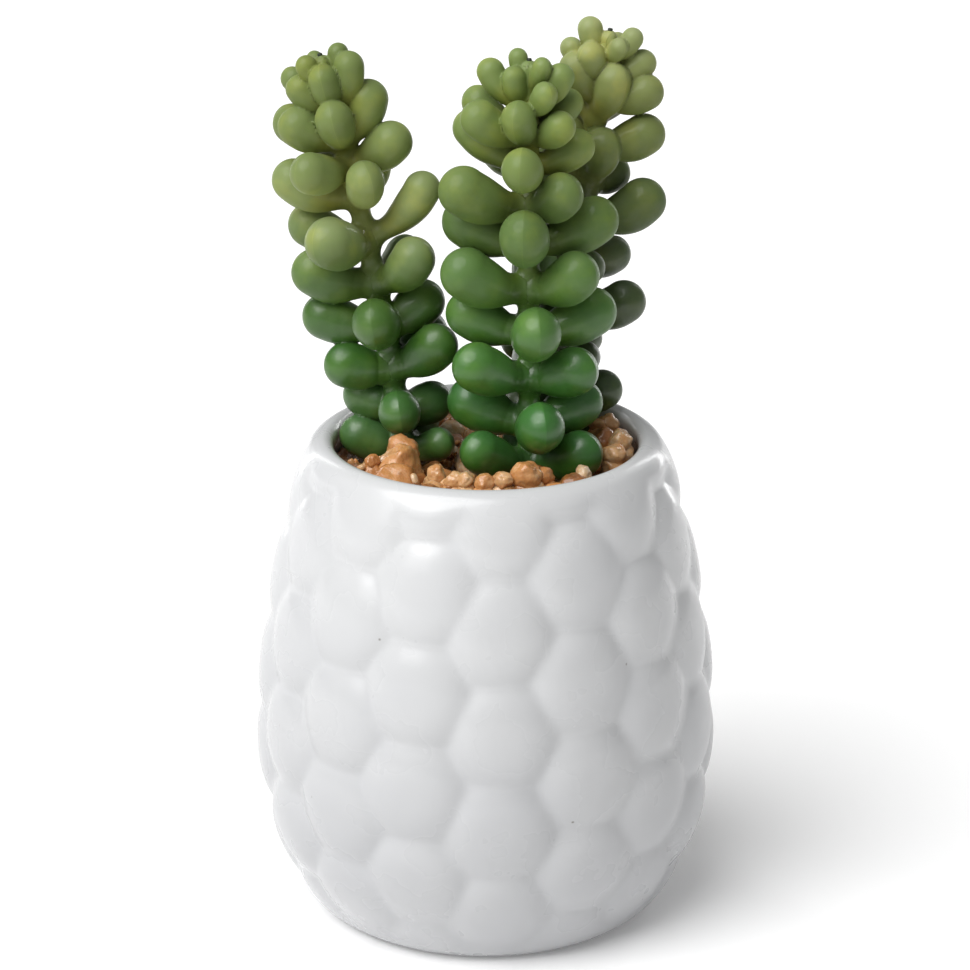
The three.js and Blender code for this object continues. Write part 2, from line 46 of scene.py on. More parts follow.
MM = 0.001  # sizes and places are in millimetres, where nothing else is said

# The pot's section in points (radius, height): the flat foot, the outside at the crests of the
# domes, the lip, the inside and the floor.
POT_FOOT = [(12, 0), (23, 0), (25.5, 0), (27.6, 0.12)]
POT_OUTSIDE = [
    (29.5, 0.5), (32.6, 3), (36, 8), (38.8, 14), (40.7, 21), (41.7, 29), (41.9, 36), (41.5, 43),
    (40.8, 50), (39.8, 57), (38.4, 65), (36.6, 73), (34.8, 80), (33.2, 84.5), (31.6, 87.3),
]
POT_LIP = [(30.3, 88.5), (28.9, 89), (27.7, 88.5), (27.2, 87.3)]
POT_INSIDE = [
    (27.6, 85), (28.9, 82), (32.4, 72), (35.4, 59), (36.8, 43), (36.2, 24), (33.4, 12), (30.0, 7.2),
    (25, 5.2),
]
POT_FLOOR = [(20, 5.04), (10, 5)]
POT_SIDES = 416
POINTS_TO_A_STRETCH = 14

# The domes stand in columns round the pot, every other column half a step lower.
DOME_COLUMNS = 16
DOME_TURN = 4.5  # degrees from the front to the first column
DOME_PITCH = 18
DOME_TOP = 83.3  # the height of the middle of a column's top dome
DOME_DEPTH = 1.6  # how deep a dome's flank lies at DOME_REACH from its middle
DOME_REACH = 9.5
DOME_FLAT = 3  # the higher, the flatter a dome's top and the steeper its flanks
CREASE_SOFTNESS = 0.8
DOME_JITTER = 0.8  # how far a dome's middle lies off the even rule
LOW_COLUMN = 15  # the column to the left of the front one sits lower than the rule
LOW_COLUMN_DROP = 2.5
RELIEF_LOW = (1.5, 7)  # heights between which the domes rise from the plain wall
RELIEF_HIGH = (83, 88)  # and fade below the lip

GLAZE_WHITE = (0.575, 0.580, 0.585, 1)
GLAZE_SHADE = (0.555, 0.560, 0.568, 1)
GLAZE_PAINTED_SHADE = (0.79, 0.79, 0.80, 1)  # painted shade: the glaze is darkened towards the foot, where less light reaches
PAINTED_SHADE_HEIGHTS = (0.005, 0.078)  # metres: the heights between which the painted shade fades out going up
GLAZE_SPECK = (0.10, 0.075, 0.05, 1)
GLAZE_GLOSS = (0.24, 0.34)
CLOUD_GRAIN = 45  # every grain is given in lumps to a metre
SPECK_GRAIN = 210
SPECK_PATCHES = 120
GLOSS_GRAIN = 90
RIPPLE_GRAIN = 110
RIPPLE_HEIGHT = 0.0004  # metres


def smoothstep(low, high, value):
    """0 below low, 1 above high and a soft slope between them."""
    t = np.clip((value - low) / (high - low), 0, 1)
    return t * t * (3 - 2 * t)


def smooth_line(points, steps):
    """A smooth curve through the points, with that many steps to a stretch."""
    p = np.array([points[0], *points, points[-1]], float)
    line = []
    for a, b, c, d in zip(p, p[1:], p[2:], p[3:]):
        v, w = (c - a) / 2, (d - b) / 2
        cubed, squared = 2 * b - 2 * c + v + w, 3 * c - 3 * b - 2 * v - w
        for t in np.arange(steps) / steps:
            line.append(cubed * t**3 + squared * t**2 + v * t + b)
    return np.array([*line, p[-1]])


def dome_scatter(column, row, salt):
    """A draw from -1 to 1 that is always the same for the same dome."""
    wave = np.sin(column * 12.9898 + row * 78.233 + salt * 37.719) * 43.5453
    return 2 * (wave - np.floor(wave)) - 1


def crease_depth(turn, height, radius):
    """How far the surface lies below the crests: nothing at the middle of a dome, most in the
    soft crease between two domes."""
    column_angle = 360 / DOME_COLUMNS
    nearest = np.round((turn - DOME_TURN) / column_angle)
    nearness = 0
    for c in (nearest - 1, nearest, nearest + 1):
        column = c % DOME_COLUMNS
        top = DOME_TOP - (column % 2) * DOME_PITCH / 2 - (column == LOW_COLUMN) * LOW_COLUMN_DROP
        middle = np.round((top - height) / DOME_PITCH)
        for row in (middle - 1, middle, middle + 1):
            across = np.radians(turn - DOME_TURN - c * column_angle) * radius
            across = across - DOME_JITTER * dome_scatter(column, row, 1)
            up = height - top + row * DOME_PITCH - DOME_JITTER * dome_scatter(column, row, 2)
            nearness = nearness + np.exp(-np.hypot(across, up) / CREASE_SOFTNESS)
    from_middle = np.maximum(0, -CREASE_SOFTNESS * np.log(nearness))
    return DOME_DEPTH * (from_middle / DOME_REACH)**DOME_FLAT


def object_of(name, vertices, faces):
    """A smooth mesh object from vertices in millimetres."""
    mesh = bpy.data.meshes.new(name)
    mesh.from_pydata((np.asarray(vertices) * MM).tolist(), [], faces)
    mesh.validate()
    mesh.polygons.foreach_set("use_smooth", [True] * len(mesh.polygons))
    mesh.update()
    piece = bpy.data.objects.new(name, mesh)
    bpy.context.scene.collection.objects.link(piece)
    return piece


def ring_faces(rings, sides):
    """The quads between rings of points that lie one after another."""
    faces = []
    for r in range(rings - 1):
        for k in range(sides):
            n = (k + 1) % sides
            faces.append((r * sides + k, r * sides + n, (r + 1) * sides + n, (r + 1) * sides + k))
    return faces


def closed_rings(points, sides, first_tip, last_tip):
    """Rings of points that lie one after another, drawn together to a tip at either end."""
    faces = ring_faces(len(points) // sides, sides)
    first, last_ring = len(points), len(points) - sides
    for k in range(sides):
        n = (k + 1) % sides
        faces.append((first, n, k))
        faces.append((first + 1, last_ring + k, last_ring + n))
    return [*points, first_tip, last_tip], faces


def pot_mesh():
    """The pot's section turned about its axis, with the creases pressed into the outside."""
    wall = smooth_line(POT_OUTSIDE + POT_LIP + POT_INSIDE, POINTS_TO_A_STRETCH)
    profile = np.array([*POT_FOOT, *wall, *POT_FLOOR])
    outside = len(POT_FOOT) + POINTS_TO_A_STRETCH * len(POT_OUTSIDE)
    turn = np.arange(POT_SIDES) * 360 / POT_SIDES
    radius, height = [np.repeat(profile[:, i:i + 1], POT_SIDES, 1) for i in (0, 1)]
    angle = np.repeat(turn[None], len(profile), 0)
    strength = smoothstep(*RELIEF_LOW, height) * (1 - smoothstep(*RELIEF_HIGH, height))
    strength[outside:] = 0
    radius = radius - strength * crease_depth(angle, height, radius)
    a = np.radians(angle)
    points = np.stack([radius * np.sin(a), -radius * np.cos(a), height], -1).reshape(-1, 3)
    return closed_rings(points, POT_SIDES, (0, 0, 0), (0, 0, POT_FLOOR[-1][1]))


def fill(tree, node, **inputs):
    """Gives a node its inputs by name, or by number as i0, i1 and so on. A number or a colour goes
    straight on the socket, and another node's output comes by a link."""
    for key, value in inputs.items():
        numbered = key[0] == "i" and key[1:].isdigit()
        socket = node.inputs[int(key[1:]) if numbered else key.replace("_", " ")]
        if isinstance(value, bpy.types.NodeSocket):
            tree.links.new(value, socket)
        else:
            socket.default_value = value


def add(tree, kind, settings=None, **inputs):
    """A new shader node with its settings and its inputs."""
    node = tree.nodes.new(kind)
    for key, value in (settings or {}).items():
        setattr(node, key, value)
    fill(tree, node, **inputs)
    return node


def finish_of(name):
    """A new material, its tree, its surface shader and the place on the piece, in metres."""
    material = bpy.data.materials.new(name)
    material.use_nodes = True
    tree = material.node_tree
    shader = tree.nodes["Principled BSDF"]
    place = add(tree, "ShaderNodeTexCoord").outputs["Object"]
    return material, tree, shader, place


def blended(tree, factor, first, second, kind="MIX"):
    """Two colours mixed by a factor."""
    mix = add(tree, "ShaderNodeMix", {"data_type": "RGBA", "blend_type": kind},
              i0=factor, i6=first, i7=second)
    return mix.outputs[2]


def tinted(tree, colour, tint):
    """A colour multiplied by a tint."""
    return blended(tree, 1.0, colour, tint, "MULTIPLY")


def band(tree, value, low, high, to_low=0.0, to_high=1.0, kind="SMOOTHSTEP"):
    """A value spread from low..high onto another range, and held at its ends beyond that."""
    spread = add(tree, "ShaderNodeMapRange", {"interpolation_type": kind},
                 Value=value, i1=low, i2=high, i3=to_low, i4=to_high)
    return spread.outputs[0]


def grain(tree, place, scale, detail=3.0, roughness=0.5):
    """Fine noise from 0 to 1, its scale in lumps to a metre."""
    cloudy = add(tree, "ShaderNodeTexNoise",
                 Vector=place, Scale=scale, Detail=detail, Roughness=roughness)
    return cloudy.outputs[0]


def cells_of(tree, place, scale):
    """How far each place lies from the middle of its cell, with that many cells to a metre."""
    return add(tree, "ShaderNodeTexVoronoi", Vector=place, Scale=scale).outputs["Distance"]


def height_of(tree, direction):
    """The upward part of a place or a direction."""
    return add(tree, "ShaderNodeSeparateXYZ", Vector=direction).outputs[2]


def maths(tree, operation, a, b):
    """A value worked out from two others."""
    return add(tree, "ShaderNodeMath", {"operation": operation}, i0=a, i1=b).outputs[0]


def glaze():
    """Glossy white, faintly clouded, with painted shade that greys it low down, a few dark specks
    and a soft ripple.
    """
    material, tree, shader, place = finish_of("white_glaze")
    cloud = band(tree, grain(tree, place, CLOUD_GRAIN, 2), 0.35, 0.7)
    colour = blended(tree, cloud, GLAZE_WHITE, GLAZE_SHADE)
    # painted shade: the white is darkened towards the foot, where less light reaches
    low = band(tree, height_of(tree, place), *PAINTED_SHADE_HEIGHTS, 1, 0, "LINEAR")
    colour = blended(tree, low, colour, tinted(tree, colour, GLAZE_PAINTED_SHADE))
    specks = band(tree, cells_of(tree, place, SPECK_GRAIN), 0.08, 0.03)
    rare = band(tree, grain(tree, place, SPECK_PATCHES, 0), 0.68, 0.72, 0, 0.7)
    colour = blended(tree, maths(tree, "MULTIPLY", specks, rare), colour, GLAZE_SPECK)
    gloss = band(tree, grain(tree, place, GLOSS_GRAIN), 0.3, 0.7, *GLAZE_GLOSS)
    ripple = add(tree, "ShaderNodeBump", Height=grain(tree, place, RIPPLE_GRAIN, 2),
                 Strength=0.15, Distance=RIPPLE_HEIGHT)
    fill(tree, shader, Base_Color=colour, Roughness=gloss, Normal=ripple.outputs[0],
         Coat_Weight=0.25, Coat_Roughness=0.12, IOR=1.45)
    return material


pot = object_of("glazed_pot", *pot_mesh())
pot.data.materials.append(glaze())
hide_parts("pot")
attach(pot, "root")


# ------------------------------------------------------------------------------------------------
# The filling: rigid foam cast in the pot, which the stems' feet are stuck in. The gravel hides it,
# so its plain solid stays and only takes on the look of cut foam.
# ------------------------------------------------------------------------------------------------

FOAM_LIGHT = (0.62, 0.55, 0.38, 1)
FOAM_PIT_SHADE = (0.42, 0.36, 0.22, 1)
FOAM_CELLS = 900
FOAM_PITS = 0.0005  # metres


def cast_foam():
    """Matt foam with small open cells, painted darker in their hollows as shade."""
    material, tree, shader, place = finish_of("cast_foam")
    cells = cells_of(tree, place, FOAM_CELLS)
    # painted shade: the cells are darker towards their middles, where the bump makes them hollow
    colour = blended(tree, band(tree, cells, 0.1, 0.6), FOAM_PIT_SHADE, FOAM_LIGHT)
    pits = add(tree, "ShaderNodeBump", Height=cells, Strength=0.6, Distance=FOAM_PITS)
    fill(tree, shader, Base_Color=colour, Roughness=0.9, Normal=pits.outputs[0])
    return material


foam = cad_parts["foam_filling"]
foam.data.materials.clear()
foam.data.materials.append(cast_foam())


# ------------------------------------------------------------------------------------------------
# The leafy stems: soft plastic, moulded in whorls of three fat club-shaped leaves and threaded on
# a thin stem, each whorl turned from the one below. A faint mould line runs over every leaf.
# ------------------------------------------------------------------------------------------------

STEM_RADIUS = 1.6
STEM_FOOT = 58.0
STEM_SIDES = 16
STEM_STEP = 2.0
NECK = 0.45  # a leaf's neck as a part of its ball's radius
NECK_SWELL = (0.05, 0.85)  # the stretch of a leaf in which the neck grows to the ball
# Each stem: the three points that its curve is drawn from, and its whorls from the bottom up. A
# whorl is (height, curl, leaves) and a leaf (turn from the front towards +X, length, lift, radius
# of its ball). The curl is how far a leaf droops at its root and rises at its end.
STEMS = {
    "left": {"curve": [(-14, 5, 80), (-18.5, 5, 118), (-28.4, 5, 155.5)], "whorls": [
        (84.8, 14, [(-92, 8.3, 24, 3.8), (50, 8.8, 13, 2.9), (160, 8.2, 16, 3.9)]),
        (92.4, 14, [(4, 8, 13, 3.9), (-110, 6.9, 22, 3.8), (110, 6.2, -4, 3.8)]),
        (100.1, 16, [(-80, 8.2, 15, 4.1), (62, 10.8, 23, 4), (135, 9.8, 20, 4.2)]),
        (107.9, 16, [(-6, 9, 21, 4.3), (-98, 10.8, 16, 4.1), (102, 7.9, 20, 4.1)]),
        (116.1, 26, [(-84, 11.2, 21, 4.2), (55, 10.8, 25, 3.9), (140, 9, 12, 3.7)]),
        (124, 20, [(-37, 10.2, 15, 4.5), (80, 14.2, 32, 3.2), (-110, 11, 18, 3.9)]),
        (132, 30, [(21, 8.8, 28, 3.5), (-88, 11.8, 26, 3.8), (130, 6.5, 34, 3)]),
        (137.6, 20, [(78, 9, 17, 3.7), (-40, 10.2, 10, 3.6), (-150, 9.6, 20, 3.9)]),
        (141.6, 20, [
            (88, 9, 47, 3.5), (-78, 8.7, 34, 3.5), (-2, 7.4, 47, 3.5),
            (-120, 10.6, 22, 3.6), (160, 8.4, 40, 3.6),
        ]),
        (147, 20, [
            (-6, 7.4, 65, 2.8), (-84, 7.4, 48, 2.6), (68, 9.2, 58, 2.7),
            (-125, 10.1, 40, 2.2), (150, 7, 50, 2.8),
        ]),
        (151.5, 16, [
            (-62, 5.7, 57, 1.9), (-150, 5.4, 60, 1.6), (100, 6.1, 59, 1.8), (160, 4.2, 40, 2),
        ]),
    ]},
    "centre": {"curve": [(7.8, -3, 80), (7.3, -3, 118), (7.4, -3, 156.5)], "whorls": [
        (85.2, 16, [(-55, 11.3, 20, 3.8), (62, 10.6, 16, 4.1), (-165, 6.8, 14, 3.3)]),
        (92.5, 16, [(11, 10.6, 13, 4.4), (-102, 10.9, 17, 4.4), (108, 9.7, 15, 4.3)]),
        (101, 16, [(-58, 11.7, 19, 4.3), (60, 9.7, 15, 4.2), (172, 8.4, 10, 4.1)]),
        (109.2, 18, [(7, 10.8, 16, 4.5), (-95, 11, 17, 4.2), (105, 12, 13, 4.4)]),
        (117.5, 26, [(-68, 12.8, 18, 4.5), (55, 11, 21, 4.2), (172, 9, 14, 4.1)]),
        (125.5, 20, [(-5, 10.8, 22, 4.5), (-105, 11.7, 15, 4.4), (98, 12.3, 17, 4.3)]),
        (132.3, 22, [(-72, 12.8, 17, 4.3), (48, 8.4, 23, 3.9), (172, 8.6, 17, 4)]),
        (139.2, 18, [
            (-8, 9.4, 12, 3.7), (-100, 12, 33, 3.4), (98, 9.1, 21, 3.2), (-145, 9, 8, 3.6),
        ]),
        (144.5, 22, [
            (-70, 10.2, 24, 3.3), (50, 7.7, 23, 2.8), (-19, 7.6, 39, 3.1),
            (115, 9.5, 34, 2.5), (-120, 11.4, 26, 3), (170, 8, 30, 3.2),
        ]),
        (149.3, 20, [
            (-100, 9.5, 44, 2.4), (27, 7.2, 34, 2.3), (80, 8.3, 48, 2.4),
            (-60, 6.9, 63, 2.1), (150, 7, 45, 2.6),
        ]),
        (152.8, 14, [(-120, 5.9, 68, 1.7), (45, 5.6, 56, 1.7), (150, 4, 40, 1.9)]),
    ]},
    "right": {"curve": [(13.4, 13, 80), (15, 13.5, 118), (21.5, 13, 158)], "whorls": [
        (85.6, 14, [(-105, 8, 15, 4), (112, 4.6, 15, 2.8), (-35, 4.4, 21, 2.7)]),
        (92.4, 28, [(82, 7.4, 12, 3.6), (-150, 8.4, 12, 4.2), (-40, 6.8, 12, 3.4)]),
        (99.8, 16, [(150, 7.7, 10, 2.9), (-104, 8.6, 12, 4.1), (35, 5.6, 12, 2.9)]),
        (108.8, 32, [(88, 10, 11, 3.9), (-150, 10.2, 8, 4.4), (-30, 7.4, 16, 3.5)]),
        (116.8, 16, [(132, 9.2, 4, 3.4), (-103, 9.2, 12, 4), (20, 6.4, 12, 3)]),
        (126.4, 36, [(84, 11.8, 19, 4.1), (-150, 10.8, 13, 4.6), (-30, 7.6, 8, 3.7)]),
        (132.6, 18, [(132, 6.6, 3, 3.2), (-100, 8.8, 16, 3.8), (45, 7.3, 67, 3.5)]),
        (138.8, 24, [(86, 9.8, 20, 3.7), (-160, 9.6, 18, 4), (-80, 7.1, 24, 3.4)]),
        (143.6, 22, [(40, 8.5, 69, 3.3), (150, 8.8, 38, 3.6), (-140, 8.8, 38, 3.4)]),
        (147, 20, [(80, 8.7, 20, 3.2), (-72, 7.7, 47, 3), (130, 7.4, 28, 3.1)]),
        (150.8, 18, [
            (90, 7.7, 30, 2.5), (-50, 5.6, 50, 2.6), (-108, 7.7, 33, 2), (-160, 6.6, 50, 2.6),
        ]),
        (154, 16, [
            (72, 6.7, 50, 1.9), (-100, 6.3, 56, 2.2), (34, 4.9, 46, 1.7), (150, 4.4, 35, 2.2),
        ]),
    ]},
}

LEAF_REACHES = [0.04, *np.linspace(0.08, 1, 24)]  # where along a leaf its rings stand
LEAF_SIDES = 18
CAP_RINGS = 5
BEND_PARTS = 12  # the stretches that a leaf's bend is summed over
HALVINGS = 40  # the steps in which a height is found on a stem's curve
SKIN_GRID = 0.3  # the size of the skin's small faces
RIDGE = 0.07  # how far the two half shells of a leaf are pushed into each other, in its radii
RIDGE_GROWS = (0.2, 0.6)  # the stretch of a leaf in which that ridge comes up
SHELL = 1.03  # the radius of a half shell, in the leaf's radii
WEB = (0.8, 0.35)  # how softly the leaves of a whorl run together at the stem: low down, at the tip
WEB_TIGHTENS = (0.6, 0.9)  # the part of a stem in which the one goes over into the other
WEB_REACH = 0.42  # the part of a leaf, from its root, that joins in the web
WEB_STEP = 0.4
SETTLE_STEPS = 4
SETTLE_MOST = 0.4  # how far a point of the skin may move in a step
SKIN_NEAR = 3  # how far from a leaf its skin is looked for
TINT_SEED = 7

# The greens of each stem from its foot to its tip, each (part of the way up, colour).
GREENS = {
    "left": [
        (0.0, (0.060, 0.140, 0.045)), (0.15, (0.057, 0.150, 0.036)), (0.3, (0.033, 0.108, 0.014)),
        (0.45, (0.059, 0.130, 0.020)), (0.55, (0.124, 0.187, 0.054)), (0.65, (0.252, 0.312, 0.110)),
        (0.75, (0.158, 0.214, 0.056)), (1.0, (0.133, 0.187, 0.043)),
    ],
    "centre": [
        (0.0, (0.038, 0.130, 0.026)), (0.25, (0.038, 0.138, 0.025)), (0.45, (0.065, 0.158, 0.027)),
        (0.66, (0.086, 0.148, 0.029)), (0.77, (0.138, 0.200, 0.044)), (1.0, (0.160, 0.228, 0.057)),
    ],
    "right": [
        (0.0, (0.068, 0.118, 0.045)), (0.3, (0.036, 0.061, 0.016)), (0.5, (0.050, 0.083, 0.023)),
        (0.7, (0.092, 0.135, 0.032)), (0.85, (0.168, 0.205, 0.051)), (1.0, (0.256, 0.306, 0.112)),
    ],
}
GREENS_SPAN = (0.084, 0.162)  # the heights, in metres, that the greens run between
GREENS_WANDER = 0.006  # metres
# Tints that the green is multiplied with: the duller leaves, the warm patches, the leaf's root low
# down and high up (browner, and high up also painted shade near the stem), its upper side (a pale
# bloom and painted light from above) and its underside (painted shade), and the mould line.
DULL_LEAF = (0.72, 0.76, 0.70, 1)
WARM_PATCH = (1.50, 1.30, 0.90, 1)
# partly painted shade: the roots are tinted browner, and high on a stem also darkened where the
# leaves crowd at the stem
ROOT_LOW = (1.15, 0.95, 0.90, 1)
ROOT_HIGH_BROWN_AND_SHADE = (0.88, 0.76, 0.42, 1)
ROOT_TURNS = (0.10, 0.13)  # metres
LEAF_TOP_BLOOM_AND_LIGHT = (1.12, 1.09, 1.22, 1)
LEAF_UNDER_PAINTED_SHADE = (0.92, 0.90, 0.68, 1)
MOULD_LINE = (1.35, 1.25, 1.20, 1)
LINE_WIDTH = (0.03, 0.13)  # how far to either side the mould line fades out
LINE_WOBBLE = 0.12
GLOSS_FADES = (0.10, 0.135)  # metres: lower leaves are half glossy, higher ones matt
LOW_GLOSS, HIGH_GLOSS = 0.36, 0.72
LINE_SLOPES = (-0.14, -0.07)  # how steeply the skin falls off from the mould line, low and high
PATCH_GRAIN = 170
GREENS_GRAIN = 60
LINE_GRAIN = 700
LEAF_GLOSS_GRAIN = 500
SKIN_GRAIN = 420
SKIN_HEIGHT = 0.0003  # metres


def along_curve(curve, t):
    """The point at a part of the way along a stem's curve."""
    a, b, c = [np.array(p, float) for p in curve]
    return (1 - t)**2 * a + 2 * (1 - t) * t * b + t * t * c


def curve_at(curve, height):
    """The point of a stem at a height, and the stem's direction there."""
    low, high = 0.0, 1.0
    for _ in range(HALVINGS):
        middle = (low + high) / 2
        low, high = (middle, high) if along_curve(curve, middle)[2] < height else (low, middle)
    a, b, c = [np.array(p, float) for p in curve]
    axis = (1 - low) * (b - a) + low * (c - b)
    return along_curve(curve, low), axis / np.linalg.norm(axis)


def leaf_line(curve, whorl, leaf, fractions):
    """The middle line of a leaf: points, radii and directions at fractions of its length, the
    direction across its mould line, and the middle of its whorl."""
    height, curl, _ = whorl
    turn, length, lift, ball = leaf
    hub, axis = curve_at(curve, height)
    right = np.array([1.0, 0, 0]) - axis * axis[0]
    right /= np.linalg.norm(right)
    back = np.cross(axis, right)
    out = math.sin(math.radians(turn)) * right - math.cos(math.radians(turn)) * back
    side = np.cross(out, axis)
    parts = (np.arange(BEND_PARTS) + 0.5) / BEND_PARTS
    points, heads = [], []
    for u in fractions:
        bend = np.radians(lift + curl * (2 * u * parts - 1))
        points.append(hub + length * u * (np.cos(bend).mean() * out + np.sin(bend).mean() * axis))
        rise = math.radians(lift + curl * (2 * u - 1))
        heads.append(math.cos(rise) * out + math.sin(rise) * axis)
    radii = ball * (NECK + (1 - NECK) * smoothstep(*NECK_SWELL, np.array(fractions)))
    return np.array(points), radii, np.array(heads), side, hub


def circle(middle, radius, side, over, sides):
    """Points round a middle, in the plane of two directions."""
    turns = [2 * math.pi * k / sides for k in range(sides)]
    return [middle + radius * (math.cos(a) * side + math.sin(a) * over) for a in turns]


def leaf_mesh(line):
    """A closed club: rings round the middle line and a ball at its end."""
    points, radii, heads, side, _ = line
    end, ball, head = points[-1], radii[-1], heads[-1]
    rings = list(zip(points, radii, heads))
    for k in range(1, CAP_RINGS + 1):
        lean = math.pi / 2 * k / (CAP_RINGS + 0.6)
        rings.append((end + head * (ball * math.sin(lean)), ball * math.cos(lean), head))
    vertices = []
    for middle, radius, ahead in rings:
        vertices.extend(circle(middle, radius, side, np.cross(side, ahead), LEAF_SIDES))
    return closed_rings(vertices, LEAF_SIDES, points[0], end + head * ball)


def rod_mesh(points, radius, sides):
    """A round rod along points, with flat ends."""
    points = np.array(points)
    vertices = []
    for i, point in enumerate(points):
        ahead = points[min(i + 1, len(points) - 1)] - points[max(i - 1, 0)]
        ahead /= np.linalg.norm(ahead)
        side = np.cross(ahead, (0, 1, 0))
        side /= np.linalg.norm(side)
        vertices.extend(circle(point, radius, side, np.cross(side, ahead), sides))
    faces = [tuple(reversed(f)) for f in ring_faces(len(points), sides)]
    faces.append(tuple(range(sides)))
    faces.append(tuple(reversed(range(len(vertices) - sides, len(vertices)))))
    return vertices, faces


def stem_points(curve, step):
    """The stem's middle line from its foot in the foam to its tip."""
    foot = np.array([curve[0][0], curve[0][1], STEM_FOOT])
    start = np.array(curve[0], float)
    lower = [foot + (start - foot) * t for t in np.arange(0, 1, step / (start[2] - STEM_FOOT))]
    count = int((curve[2][2] - curve[0][2]) / step)
    return np.array([*lower, *[along_curve(curve, t) for t in np.linspace(0, 1, count)]])


def joined(parts):
    """Several meshes as one list of vertices and one of faces."""
    vertices, faces = [], []
    for more, rings in parts:
        start = len(vertices)
        vertices.extend(more)
        faces.extend(tuple(i + start for i in face) for face in rings)
    return vertices, faces


def fused(name, parts):
    """The parts melted into one skin of even small faces."""
    rough = object_of(name, *joined(parts))
    melt = rough.modifiers.new("melt", "REMESH")
    melt.mode = "VOXEL"
    melt.voxel_size = SKIN_GRID * MM
    seen = bpy.context.evaluated_depsgraph_get()
    skin = bpy.data.meshes.new_from_object(rough.evaluated_get(seen))
    rough.modifiers.clear()
    rough.data = skin
    skin.polygons.foreach_set("use_smooth", [True] * len(skin.polygons))
    return rough


def chain_distance(points, centres, radii):
    """How far each point lies outside a row of overlapping balls."""
    apart = np.linalg.norm(points[:, None] - centres[None], axis=2) - radii[None]
    return apart.min(axis=1)


def leaf_distance(points, line):
    """How far each point lies outside a leaf, whose two half shells meet in a low ridge."""
    centres, radii, _, side, hub = line
    across = np.abs((points - hub) @ side)
    apart = ((points[:, None] - centres[None])**2).sum(2) - across[:, None]**2
    ridge = RIDGE * radii * smoothstep(*RIDGE_GROWS, np.linspace(0, 1, len(radii)))
    apart = np.sqrt(np.maximum(apart, 0) + (across[:, None] + ridge)**2)
    return (apart - radii - (SHELL - 1) * ridge / RIDGE).min(axis=1)


def write_down(mesh, label, values):
    """Keeps a number for each point of a mesh, which its material reads."""
    kept = mesh.attributes.new(label, "FLOAT", "POINT")
    kept.data.foreach_set("value", values.astype(np.float32))


def settle(piece, curve, lines):
    """Moves the skin onto the true leaves and the soft webs between their roots, and writes down
    for each of its points which leaf it is on, how far out, and how far from the mould line."""
    mesh = piece.data
    count = len(mesh.vertices)
    places = np.empty(count * 3)
    mesh.vertices.foreach_get("co", places)
    places = places.reshape(-1, 3) / MM
    rod = stem_points(curve, WEB_STEP)
    rod_radii = np.full(len(rod), STEM_RADIUS)
    rise = (places[:, 2] - curve[0][2]) / (curve[2][2] - curve[0][2])
    soft = WEB[0] + (WEB[1] - WEB[0]) * smoothstep(*WEB_TIGHTENS, rise)
    for _ in range(SETTLE_STEPS):
        web = np.exp(-chain_distance(places, rod, rod_radii) / soft)
        nearest = np.full(count, 1e3)
        owner = np.zeros(count, int)
        for number, line in enumerate(lines):
            points, radii, *_ = line
            span = SKIN_NEAR + radii.max() + np.ptp(points, 0).max() / 2
            near = np.flatnonzero(np.linalg.norm(places - points.mean(0), axis=1) < span)
            apart = leaf_distance(places[near], line)
            closer = apart < nearest[near]
            nearest[near[closer]] = apart[closer]
            owner[near[closer]] = number
            root = int(len(points) * WEB_REACH)
            outside = chain_distance(places[near], points[:root], radii[:root])
            web[near] += np.exp(-outside / soft[near])
        away = np.minimum(nearest, -soft * np.log(web + 1e-12))
        normals = np.empty(count * 3)
        mesh.vertex_normals.foreach_get("vector", normals)
        step = np.clip(away, -SETTLE_MOST, SETTLE_MOST)
        places = places - step[:, None] * normals.reshape(-1, 3)
        mesh.vertices.foreach_set("co", (places * MM).ravel())
        mesh.update()
    seam, out = np.empty(count), np.empty(count)
    for number, (points, radii, heads, side, hub) in enumerate(lines):
        mine = np.flatnonzero(owner == number)
        seam[mine] = (places[mine] - hub) @ side
        length = np.linalg.norm(points[-1] - points[0]) + radii[-1]
        out[mine] = np.linalg.norm(places[mine] - hub, axis=1) / length
    draws = np.random.default_rng(TINT_SEED).random(len(lines))
    for label, values in {"seam": seam, "out": out, "leaf_tint": draws[owner]}.items():
        write_down(mesh, label, values)


def written(tree, label):
    """The number that was kept for each point."""
    return add(tree, "ShaderNodeAttribute", {"attribute_name": label}).outputs["Fac"]


def ramp_colour(tree, factor, stops):
    """A colour that runs through the stops, each a part of the way and a colour."""
    ramp = add(tree, "ShaderNodeValToRGB", Fac=factor)
    elements = ramp.color_ramp.elements
    while len(elements) < len(stops):
        elements.new(0.5)
    for element, (position, colour) in zip(elements, stops):
        element.position = position
        element.color = (*colour, 1)
    return ramp.outputs[0]


